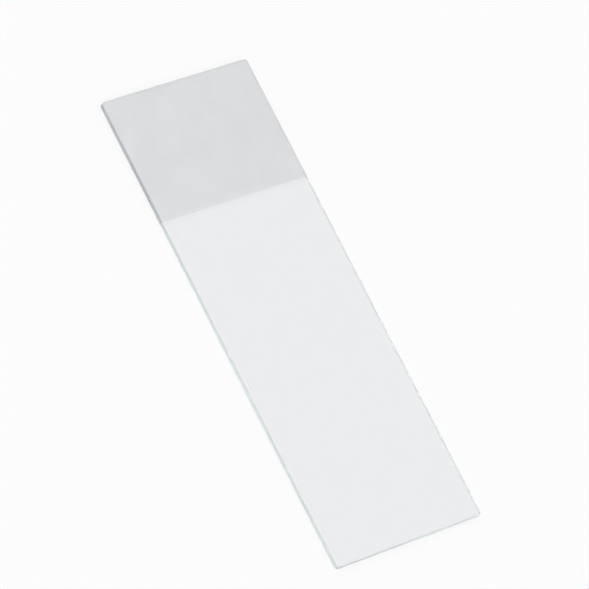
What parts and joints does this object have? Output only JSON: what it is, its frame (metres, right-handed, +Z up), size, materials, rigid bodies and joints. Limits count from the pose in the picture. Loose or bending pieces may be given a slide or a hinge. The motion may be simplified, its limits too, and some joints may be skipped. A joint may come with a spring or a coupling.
{
  "type": "microscope slide",
  "caption": "Flat rectangular plate of clear glass with one frosted end for marking, which carries a specimen under a microscope.",
  "frame": {"origin": "centre of the underside, the face that the slide lies on", "axes": "+X along the length, from the frosted end to the clear end; +Y across the width; +Z up, out of the frosted face"},
  "size_m": [0.0762, 0.0254, 0.001],
  "materials": {
    "slide_glass": "clear fire-polished faces with a faint blue-green tint that is strong along the edges; cut and seamed edges; the upper face is frosted matt grey-white over 20 mm at the -X end"
  },
  "bodies": {
    "root": {"glass_slide": "slide_glass"}
  },
  "joints": []
}
